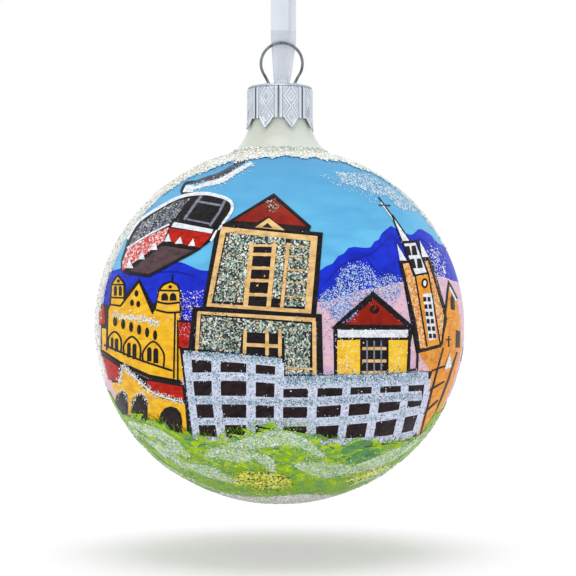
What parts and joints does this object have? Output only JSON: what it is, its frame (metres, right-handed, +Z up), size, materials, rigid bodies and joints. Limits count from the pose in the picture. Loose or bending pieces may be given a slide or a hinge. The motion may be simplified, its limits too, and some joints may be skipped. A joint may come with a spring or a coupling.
{
  "type": "hanging glass ball ornament",
  "caption": "Hollow blown-glass ball with a painted scene, closed by a stamped metal cap with a spring wire ring and hung from a folded ribbon loop.",
  "frame": {"origin": "inside top of the ribbon's loop, where the ornament hangs", "axes": "+Z up along the hanging line through the ball's centre; the painted front faces -Y; +X to the right seen from the front"},
  "size_m": [0.0822, 0.0822, 0.1507],
  "materials": {
    "painted_glass": "glossy",
    "pearl_lacquer": "pearl",
    "paint": "satin",
    "glitter": "sparkling",
    "cap_aluminium": "embossed",
    "spring_wire": "satin",
    "ribbon_satin": "satin"
  },
  "bodies": {
    "ribbon": {"ribbon_loop": "ribbon_satin"},
    "throat": {"ribbon_throat": "ribbon_satin"},
    "hanger": {"wire_hanger": "spring_wire", "cap": "cap_aluminium", "ribbon_tail": "ribbon_satin", "ribbon_knot": "ribbon_satin", "ribbon_wrap_left": "ribbon_satin", "ribbon_wrap_right": "ribbon_satin"},
    "ball": {"glass_ball": "painted_glass"}
  },
  "joints": [
    {"name": "twirl", "type": "hinge", "parent": "ribbon", "child": "throat", "pos_m": [0, 0, -0.042], "axis": [0, 0, 1], "range_deg": [-180, 180]},
    {"name": "swing", "type": "hinge", "parent": "throat", "child": "hanger", "pos_m": [0.0004, 0.00108, -0.0453], "axis": [1, 0, 0], "range_deg": [-60, 60]},
    {"name": "cap_pull", "type": "slide", "parent": "hanger", "child": "ball", "axis": [0, 0, -1], "range_m": [0, 0.02]}
  ]
}
